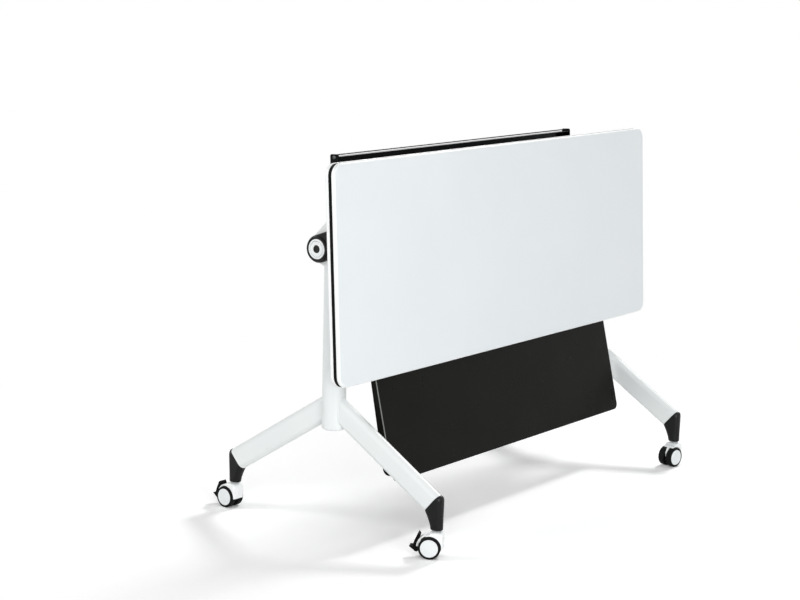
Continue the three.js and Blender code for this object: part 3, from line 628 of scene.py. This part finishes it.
def sloping_leg():
    section = flat_oval(LEG_HALF_HEIGHT, LEG_HALF_WIDTH)
    start = [on_column(w, h, COLUMN_RADIUS - 0.2) for w, h in section]
    end = [tuple(on_cut(w, h) - LEG_ALONG * 0.3) for w, h in section]
    return loft([start, end])


def bezier(points, t):
    a, b, c, d = (Vector(p) for p in points)
    s = 1 - t
    return a * s ** 3 + b * 3 * s * s * t + c * 3 * s * t * t + d * t ** 3


def moulded_boot(steps=20, shoulder_share=0.4):
    """Boot: from the leg's slanting cut, over a tight shoulder and a hollow instep, down to the round foot."""
    tip, knee = on_cut(0, LEG_HALF_HEIGHT).yz, on_cut(0, -LEG_HALF_HEIGHT).yz
    outer, inner = -SWIVEL_REACH - BOOT_RADIUS, -SWIVEL_REACH + BOOT_RADIUS + BOOT_TOE
    foot = BOOT_BOTTOM + BOOT_ROUND
    shoulder = [tip, tip + Vector((-4.6, -0.8)), (outer, BOOT_SHOULDER + 7), (outer, BOOT_SHOULDER)]
    heel, toe = Vector((outer, foot)), Vector((inner, foot))
    hollow = (knee + toe) / 2 + Vector((-4.5, -2))
    rims = []
    for i in range(steps + 1):
        t = i / steps
        if t < shoulder_share:
            far = bezier(shoulder, t / shoulder_share)
        else:
            far = Vector(shoulder[-1]).lerp(heel, (t - shoulder_share) / (1 - shoulder_share))
        instep = knee.lerp(hollow, t).lerp(hollow.lerp(toe, t), t)
        rims.append((far, instep, LEG_HALF_WIDTH + (BOOT_RADIUS - LEG_HALF_WIDTH) * t))
    for inset, sink in arc(BOOT_ROUND, BOOT_ROUND, BOOT_ROUND, 198, 270, 4):
        height = BOOT_BOTTOM + sink
        rims.append((Vector((outer + inset, height)), Vector((inner - inset, height)), BOOT_RADIUS - inset))
    rings = []
    for index, (far, near, half_width) in enumerate(rims):
        if index == 0:
            rings.append(oval_ring(far, near, half_width, 0.6))
            far, near = (p + LEG_ALONG.yz * 0.6 for p in (far, near))
        rings.append(oval_ring(far, near, half_width, 0))
    return loft(rings)


def oval_ring(far, near, half_width, inset):
    """A flat oval between two points of the (y, z) plane."""
    middle = (far + near) / 2
    lean = (far - near).normalized()
    half = (far - near).length / 2
    ring = []
    for w, h in flat_oval(max(half, half_width) - inset, half_width - inset):
        ring.append((w, middle.x + lean.x * h, middle.y + lean.y * h))
    return ring


def stem_profile():
    return [(0, 46.7), (4.4, 46.7), (5, 47.3), (5, 55.3), (8.1, 55.3), (8.5, 55.7), (8.5, 57.3), (8.1, 57.7),
            (5, 57.7), (5, 85.2), (4.2, 86), (0, 86)]


for corner, place in CORNERS.items():
    made(f"leg_tube_{corner}", sloping_leg(), place, powder_white, "frame", "white_coat", f"leg_{corner}")
    made(f"foot_{corner}", moulded_boot(), place, moulded_black, "frame", "black_plastic", f"boot_{corner}")
    stem = placed(turned(stem_profile(), 48), Matrix.Translation((0, -SWIVEL_REACH, 0)))
    made(f"stem_{corner}", stem, place, zinc_steel, "frame", "steel", f"caster_stem_{corner}")


# Casters: the swivel axis is Z, the wheels trail along +X on an axle along Y
AXLE = Matrix.Translation((WHEEL_TRAIL, 0, WHEEL_RADIUS))


def on_wheel(radius, degrees):
    a = math.radians(degrees)
    return (WHEEL_TRAIL + radius * math.cos(a), WHEEL_RADIUS + radius * math.sin(a))


def drawn_in(flank, width, depth):
    """How far an edge has drawn in at that distance from the hood's middle, on a quarter ellipse."""
    past = max(0, flank - HOOD_HALF + width) / width
    return depth * (1 - math.sqrt(max(0, 1 - past * past)))


def hood_outline(flank):
    """Side outline of the hood at a distance from its middle: crown, top and lead draw in outwards."""
    thin, low, short = drawn_in(flank, 6, 2.2), drawn_in(flank, 6, 4), drawn_in(flank, 8, 3)
    crown = arc(WHEEL_TRAIL, WHEEL_RADIUS, RIM_RADIUS - thin, 76, 86, 6)
    lead = arc(-HOOD_LEAD + 8 + short, HOOD_TOP - 8 - low, 8, 90, 180, 10)
    web = [(-10, -9), (-2, -9), (9, -5), (14, 1), (15.5, 10)]
    return ([on_wheel(WELL_RADIUS - 2, 62)] + crown + [(BOOT_RADIUS, HOOD_TOP - low)] + lead
            + [(-HOOD_LEAD + short, WHEEL_RADIUS - 1)]
            + [(WHEEL_TRAIL + x, WHEEL_RADIUS + z) for x, z in web])


def caster_hood(braked):
    flanks = [HOOD_HALF - 8 + 8 * math.sin(math.pi / 2 * i / 8) for i in range(9)]
    flanks = [-flank for flank in reversed(flanks)] + flanks
    hood = placed(loft([[(x, y, flank) for x, y in hood_outline(abs(flank))] for flank in flanks]), RUN_Y)
    for low, high in ((3, 20), (-20, -3)):
        well = placed(drill(WELL_RADIUS, low, high, 96), AXLE @ turn(-90, "X"))
        hood = combined(hood, well, "DIFFERENCE")
    hood = combined(hood, drill(5.4, 46, HOOD_TOP + 5), "DIFFERENCE")
    if braked:
        rim = (arc(WHEEL_TRAIL, WHEEL_RADIUS, RIM_RADIUS, 3, 86, 40)
               + arc(WHEEL_TRAIL, WHEEL_RADIUS, WELL_RADIUS, 86, 3, 40))
        hood = combined(hood, run(rim, -10, 10, RUN_Y), "UNION")
        x, z = on_wheel(RIM_RADIUS + 2, 6)
        pin = placed(drill(2.4, -PIN_HALF, PIN_HALF), Matrix.Translation((x, 0, z)) @ turn(-90, "X"))
        hood = combined(hood, pin, "UNION")
    return hood


def tyre_profile():
    """Half-section of the black wheel: dished on the inner side, with a pocket for the disc outside."""
    inner, outer, pocket, seat = 4, 18.3, 15.4, WHEEL_RADIUS - TYRE
    return ([(3.3, inner), (7, inner), (7.6, inner + 1.6), (seat - 2.6, inner + 1.6), (seat - 2, inner)]
            + arc(WHEEL_RADIUS - 1.8, inner + 1.8, 1.8, -90, 0, 6)
            + arc(WHEEL_RADIUS - 1.8, outer - 1.8, 1.8, 0, 90, 6)
            + [(seat, outer), (seat, pocket), (3.3, pocket)])


def wheel_profile():
    """Half-section of the white disc: a raised rim and a raised middle."""
    rim, back, face = WHEEL_RADIUS - TYRE - 0.3, 15.7, 19
    return [(0, 16.6), (3.3, 16.6), (3.3, back), (rim, back), (rim, face - 1), (rim - 0.3, face - 0.4),
            (rim - 1.1, face), (rim - 2.6, face), (rim - 3.1, face - 0.5), (9.2, face - 0.5), (8.7, face), (0, face)]


def lever_outline():
    """Brake lever from the side: a tab up the rim, a pedal out and a foot below."""
    outside = [(-1.2, -22), (3, -19), (6.7, -10.4), (14.6, 0.6), (14.2, 1.5), (7.8, 1.5), (6.6, 12.5), (6.6, 24),
               (7.1, 34), (8.7, 44), (10.6, 51.5)]
    inside = [(4.2, 51.5), (1.2, 44), (0.7, 36)]
    points = [on_wheel(RIM_RADIUS + rise, angle) for rise, angle in outside + inside]
    return points + arc(WHEEL_TRAIL, WHEEL_RADIUS, RIM_RADIUS + 0.3, 25, -3, 24)


for corner, place in CASTERS.items():
    braked = corner in BRAKED
    made(f"hood_{corner}", caster_hood(braked), place, nylon_white, f"caster_{corner}", "white_plastic",
         f"caster_hood_{corner}")
    axle = placed(turned(pipe_profile(3, -16, 16, 0.5, 0.5, 3), 40), AXLE @ turn(-90, "X"))
    made(f"axle_{corner}", axle, place, zinc_steel, f"caster_{corner}", "steel", f"caster_axle_{corner}")
    for wheel, flank in (("a", 1), ("b", -1)):
        on_axle = place @ AXLE @ turn(-90 * flank, "X")
        body = f"wheel_{corner}_{wheel}"
        made(f"tread_{corner}_{wheel}", turned(tyre_profile(), 96), on_axle, tyre_black, body, "tyre",
             f"tyre_{corner}_{wheel}")
        made(f"wheel_{corner}_{wheel}", turned(wheel_profile(), 96), on_axle, disc_white, body,
             "white_plastic", f"wheel_disc_{corner}_{wheel}")
    if braked:
        lever = softened(run(lever_outline(), -10, 10, RUN_Y), 0.7, 3, 40)
        x, z = on_wheel(RIM_RADIUS + 2, 6)
        hook = placed(drill(2.7, -PIN_HALF - 0.3, PIN_HALF + 0.3), Matrix.Translation((x, 0, z)) @ turn(-90, "X"))
        lever = combined(lever, hook, "DIFFERENCE")
        made(f"lever_{corner}", lever, place, lever_black, f"lever_{corner}", "black_plastic",
             f"brake_lever_{corner}")


# Pieces made by Geometry Nodes: the strip in the edge, and the screws
def new_tree(name, sizes):
    """A geometry tree with a named input for each size; returns it with its input and output nodes."""
    tree = bpy.data.node_groups.new(name, "GeometryNodeTree")
    tree.interface.new_socket("Geometry", in_out="INPUT", socket_type="NodeSocketGeometry")
    for label in sizes:
        tree.interface.new_socket(label, in_out="INPUT", socket_type="NodeSocketFloat")
    tree.interface.new_socket("Finish", in_out="INPUT", socket_type="NodeSocketMaterial")
    tree.interface.new_socket("Geometry", in_out="OUTPUT", socket_type="NodeSocketGeometry")
    return tree, tree.nodes.new("NodeGroupInput").outputs, tree.nodes.new("NodeGroupOutput").inputs


def ended(tree, given, result, geometry):
    whole = add_node(tree, "GeometryNodeRealizeInstances", {}, {"Geometry": geometry})
    coated = add_node(tree, "GeometryNodeSetMaterial", {}, {
        "Geometry": whole.outputs["Geometry"], "Material": given["Finish"]})
    tree.links.new(coated.outputs["Geometry"], result["Geometry"])
    return tree


def strip_tree():
    """Edge strip: a rounded bar swept round the board's outline."""
    tree, given, result = new_tree("strip_round_the_edge", (
        "Length", "Depth", "Corner radius", "Bar width", "Bar height", "Bar rounding"))
    path = add_node(tree, "GeometryNodeCurvePrimitiveQuadrilateral", {"mode": "RECTANGLE"}, {
        "Width": given["Length"], "Height": given["Depth"]})
    path = add_node(tree, "GeometryNodeFilletCurve", {"mode": "POLY"}, {
        "Curve": path.outputs["Curve"], "Radius": given["Corner radius"], "Count": 16})
    bar = add_node(tree, "GeometryNodeCurvePrimitiveQuadrilateral", {"mode": "RECTANGLE"}, {
        "Width": given["Bar width"], "Height": given["Bar height"]})
    bar = add_node(tree, "GeometryNodeFilletCurve", {"mode": "POLY"}, {
        "Curve": bar.outputs["Curve"], "Radius": given["Bar rounding"], "Count": 4})
    swept = add_node(tree, "GeometryNodeCurveToMesh", {}, {
        "Curve": path.outputs["Curve"], "Profile Curve": bar.outputs["Curve"]})
    return ended(tree, given, result, swept.outputs["Mesh"])


def screw_tree():
    """Pan-head screws: one on each point, standing along the point's own direction."""
    tree, given, result = new_tree("screws_on_points", ("Head radius", "Head height", "Slot length", "Slot width"))
    flat = add_node(tree, "ShaderNodeCombineXYZ", {}, {
        "X": given["Head radius"], "Y": given["Head radius"], "Z": given["Head height"]})
    dome = add_node(tree, "GeometryNodeMeshUVSphere", {}, {"Segments": 24, "Rings": 12, "Radius": 1.0})
    dome = add_node(tree, "GeometryNodeTransform", {}, {
        "Geometry": dome.outputs["Mesh"], "Scale": flat.outputs["Vector"]})
    cross = []
    for x, y in (("Slot length", "Slot width"), ("Slot width", "Slot length")):
        size = add_node(tree, "ShaderNodeCombineXYZ", {}, {
            "X": given[x], "Y": given[y], "Z": given["Head height"]})
        bar = add_node(tree, "GeometryNodeMeshCube", {}, {"Size": size.outputs["Vector"]})
        raised = add_node(tree, "ShaderNodeCombineXYZ", {}, {"Z": given["Head height"]})
        cross.append(add_node(tree, "GeometryNodeTransform", {}, {
            "Geometry": bar.outputs["Mesh"], "Translation": raised.outputs["Vector"]}).outputs["Geometry"])
    cut = add_node(tree, "GeometryNodeMeshBoolean", {"operation": "DIFFERENCE", "solver": "EXACT"}, {
        "Mesh 1": dome.outputs["Geometry"], "Self Intersection": True})
    for bar in cross:
        tree.links.new(bar, cut.inputs["Mesh 2"])
    facing = add_node(tree, "GeometryNodeInputNamedAttribute", {"data_type": "FLOAT_VECTOR"}, {"Name": "facing"})
    stand = add_node(tree, "FunctionNodeAlignRotationToVector", {"axis": "Z"}, {
        "Vector": facing.outputs["Attribute"]})
    rows = add_node(tree, "GeometryNodeInstanceOnPoints", {}, {
        "Points": given["Geometry"], "Instance": cut.outputs["Mesh"], "Rotation": stand.outputs["Rotation"]})
    return ended(tree, given, result, rows.outputs["Instances"])


def weld_tree():
    """Weld beads: a round bead along each loop of edges, rippled by the torch."""
    tree, given, result = new_tree("beads_along_loops", ("Bead radius", "Step", "Ripple length", "Ripple height"))
    path = add_node(tree, "GeometryNodeMeshToCurve", {}, {"Mesh": given["Geometry"]})
    path = add_node(tree, "GeometryNodeResampleCurve", {"mode": "LENGTH"}, {
        "Curve": path.outputs["Curve"], "Length": given["Step"]})
    ring = add_node(tree, "GeometryNodeCurvePrimitiveCircle", {"mode": "RADIUS"}, {
        "Resolution": 10, "Radius": given["Bead radius"]})
    bead = add_node(tree, "GeometryNodeCurveToMesh", {}, {
        "Curve": path.outputs["Curve"], "Profile Curve": ring.outputs["Curve"]})
    often = add_node(tree, "ShaderNodeMath", {"operation": "DIVIDE"}, {0: 1.0, 1: given["Ripple length"]})
    ripple = add_node(tree, "ShaderNodeTexNoise", {}, {"Scale": often.outputs["Value"], "Detail": 1.0})
    rise = add_node(tree, "ShaderNodeMath", {"operation": "MULTIPLY"}, {
        0: ripple.outputs["Fac"], 1: given["Ripple height"]})
    outward = add_node(tree, "ShaderNodeVectorMath", {"operation": "SCALE"}, {
        0: add_node(tree, "GeometryNodeInputNormal", {}, {}).outputs["Normal"], "Scale": rise.outputs["Value"]})
    moved = add_node(tree, "GeometryNodeSetPosition", {}, {
        "Geometry": bead.outputs["Mesh"], "Offset": outward.outputs["Vector"]})
    return ended(tree, given, result, moved.outputs["Geometry"])


def grown(name, tree, points, edges, facings, sizes, material):
    """The plain mesh that a tree makes from points, edges between them and sizes, in metres."""
    seeds = bpy.data.meshes.new(f"{name}_points")
    seeds.from_pydata([tuple(p) for p in points], edges, [])
    if facings:
        facing = seeds.attributes.new("facing", "FLOAT_VECTOR", "POINT")
        facing.data.foreach_set("vector", [c for f in facings for c in f])
    holder = bpy.data.objects.new(name, seeds)
    bpy.context.scene.collection.objects.link(holder)
    step = holder.modifiers.new("grow", "NODES")
    step.node_group = tree
    keys = {item.name: item.identifier for item in tree.interface.items_tree if item.in_out == "INPUT"}
    for label, value in sizes.items():
        step[keys[label]] = value * MM
    step[keys["Finish"]] = material
    bpy.context.view_layer.update()
    mesh = bpy.data.meshes.new_from_object(holder.evaluated_get(bpy.context.evaluated_depsgraph_get()))
    mesh.name = name
    holder.modifiers.remove(step)
    holder.data = mesh
    bpy.data.meshes.remove(seeds)
    shape = bmesh.new()
    shape.from_mesh(mesh)
    tidied(shape, 0.0005 * MM).to_mesh(mesh)
    shape.free()
    return holder


strip = grown("edge_strip", strip_tree(), [(0, 0, 0)], [], None, {
    "Length": BOARD_LENGTH - 3, "Depth": BOARD_DEPTH - 3, "Corner radius": BOARD_CORNER - 1.5,
    "Bar width": 2.4, "Bar height": STRIP_HIGH - STRIP_LOW - 0.3, "Bar rounding": 0.9}, pvc_strip_black)
strip_place = TOP @ Matrix.Translation((0, BOARD_MIDDLE, (STRIP_LOW + STRIP_HIGH) / 2))
strip.data.transform(Matrix.Scale(MM, 4) @ strip_place @ Matrix.Scale(1 / MM, 4))
fitted(strip, "top", "edging", "edge_inlay")

weld_points, weld_edges = [], []
for place in CORNERS.values():
    loop = [on_column(w, h, COLUMN_RADIUS) for w, h in flat_oval(LEG_HALF_HEIGHT, LEG_HALF_WIDTH)[:-1]]
    first, count = len(weld_points), len(loop)
    weld_points += [place @ Vector(point) * MM for point in loop]
    weld_edges += [(first + i, first + (i + 1) % count) for i in range(count)]
welds = grown("leg_welds", weld_tree(), weld_points, weld_edges, None, {
    "Bead radius": 1.2, "Step": 1.5, "Ripple length": 4, "Ripple height": 0.8}, powder_white)
fitted(welds, "frame", "white_coat")

screws = []
for side in (-1, 1):
    down = (0, 0, -1)
    screws += [((side * 509.8, y, 63), down) for y in (-50, 20, 90)]
    screws += [((side * 430, y, 63.7), down) for y in (74, 98.5, 123)]
    screws += [((side * HINGE_X + x, HINGE_Y + 26, 63.7), down) for x in (-9, 9)]
    screws += [((side * (SHELF_HALF + 0.2), y, -32), (side, 0, 0)) for y in (80, 120, 177)]
heads = grown("screws", screw_tree(), [TOP @ Vector(p) * MM for p, _ in screws], [],
              [TOP.to_3x3() @ Vector(f) for _, f in screws],
              {"Head radius": 4.2, "Head height": 2.4, "Slot length": 4.4, "Slot width": 1.1}, black_zinc)
fitted(heads, "top", "steel")


# Floor, light and camera
def studio_floor():
    """A pale floor that runs to white past the table's shadow."""
    material = bpy.data.materials.new("floor_painted_white")
    material.use_nodes = True
    tree = material.node_tree
    tree.nodes.clear()
    path = add_node(tree, "ShaderNodeLightPath", {}, {})
    pale = add_node(tree, "ShaderNodeMapRange", {}, {
        "Value": path.outputs["Is Camera Ray"], "To Min": 0.93, "To Max": 1.22})
    paint = add_node(tree, "ShaderNodeBsdfDiffuse", {}, {"Color": pale.outputs["Result"]})
    place = add_node(tree, "ShaderNodeTexCoord", {}, {}).outputs["Object"]
    reach = add_node(tree, "ShaderNodeVectorMath", {"operation": "LENGTH"}, {0: place})
    away = add_node(tree, "ShaderNodeMapRange", {"interpolation_type": "SMOOTHSTEP"}, {
        "Value": reach.outputs["Value"], "From Min": 0.7, "From Max": 1.5})
    seen = add_node(tree, "ShaderNodeMath", {"operation": "MAXIMUM"}, {
        0: path.outputs["Is Camera Ray"], 1: path.outputs["Is Glossy Ray"]})
    seen = add_node(tree, "ShaderNodeMath", {"operation": "MAXIMUM"}, {
        0: seen.outputs["Value"], 1: path.outputs["Is Transmission Ray"]})
    share = add_node(tree, "ShaderNodeMath", {"operation": "MULTIPLY"}, {
        0: seen.outputs["Value"], 1: away.outputs["Result"]})
    white = add_node(tree, "ShaderNodeEmission", {}, {"Color": (1, 1, 1, 1), "Strength": 1.0})
    both = add_node(tree, "ShaderNodeMixShader", {}, {
        0: share.outputs["Value"], 1: paint.outputs["BSDF"], 2: white.outputs["Emission"]})
    add_node(tree, "ShaderNodeOutputMaterial", {}, {"Surface": both.outputs["Shader"]})
    mesh = bpy.data.meshes.new("floor")
    mesh.from_pydata([(-30, -30, 0), (30, -30, 0), (30, 30, 0), (-30, 30, 0)], [], [(0, 1, 2, 3)])
    floor = bpy.data.objects.new("floor", mesh)
    mesh.materials.append(material)
    bpy.context.scene.collection.objects.link(floor)


def soft_lamp(name, place, aim, size, power):
    lamp = bpy.data.lights.new(name, "AREA")
    lamp.shape, lamp.size, lamp.energy = "DISK", size, power
    holder = bpy.data.objects.new(name, lamp)
    holder.location = place
    holder.rotation_euler = (Vector(aim) - Vector(place)).to_track_quat("-Z", "Y").to_euler()
    bpy.context.scene.collection.objects.link(holder)


studio_floor()
soft_lamp("wall_left", (-4.5, -3.0, 2.6), (0, 0, 0.4), 2.4, 77)
soft_lamp("front_low", (-2.6, -4.2, 0.9), (0, 0, 0.4), 2.0, 79)
soft_lamp("back_left", (-3.2, 3.4, 2.6), (0, 0, 0.4), 2.0, 67)
soft_lamp("window_right", (3.0, 0.0, 3.3), (0, 0, 0.4), 1.0, 85)

world = bpy.data.worlds.new("studio")
bpy.context.scene.world = world
world.use_nodes = True
room = world.node_tree
room.nodes.clear()
path = add_node(room, "ShaderNodeLightPath", {}, {})
camera_or_gloss = add_node(room, "ShaderNodeMath", {"operation": "MAXIMUM"}, {
    0: path.outputs["Is Camera Ray"], 1: path.outputs["Is Glossy Ray"]})
clear = add_node(room, "ShaderNodeMath", {"operation": "MAXIMUM"}, {
    0: camera_or_gloss.outputs["Value"], 1: path.outputs["Is Transmission Ray"]})
strength = add_node(room, "ShaderNodeMapRange", {}, {"Value": clear.outputs["Value"], "To Min": 0.32, "To Max": 1.0})
air = add_node(room, "ShaderNodeBackground", {}, {"Color": (1, 1, 1, 1), "Strength": strength.outputs["Result"]})
add_node(room, "ShaderNodeOutputWorld", {}, {"Surface": air.outputs["Background"]})

heading, pitch, roll = math.radians(36.79), math.radians(10.285), math.radians(1.38)
ahead = Vector((math.cos(heading) * math.cos(pitch), math.sin(heading) * math.cos(pitch), -math.sin(pitch)))
level = Vector((math.sin(heading), -math.cos(heading), 0))
upright = level.cross(ahead)
across = level * math.cos(roll) + upright * math.sin(roll)
upward = upright * math.cos(roll) - level * math.sin(roll)
lens = bpy.data.cameras.new("camera")
lens.sensor_width = 36
lens.lens = 1960.2 * 36 / 800  # focal length found in pixels of an image 800 wide
camera = bpy.data.objects.new("camera", lens)
camera.matrix_world = Matrix((
    (across.x, upward.x, -ahead.x, -3.5822),
    (across.y, upward.y, -ahead.y, -2.4809 + COLUMN_Y * MM),
    (across.z, upward.z, -ahead.z, 1.217),
    (0, 0, 0, 1)))
bpy.context.scene.collection.objects.link(camera)
bpy.context.scene.camera = camera
bpy.context.scene.view_settings.view_transform = "Standard"
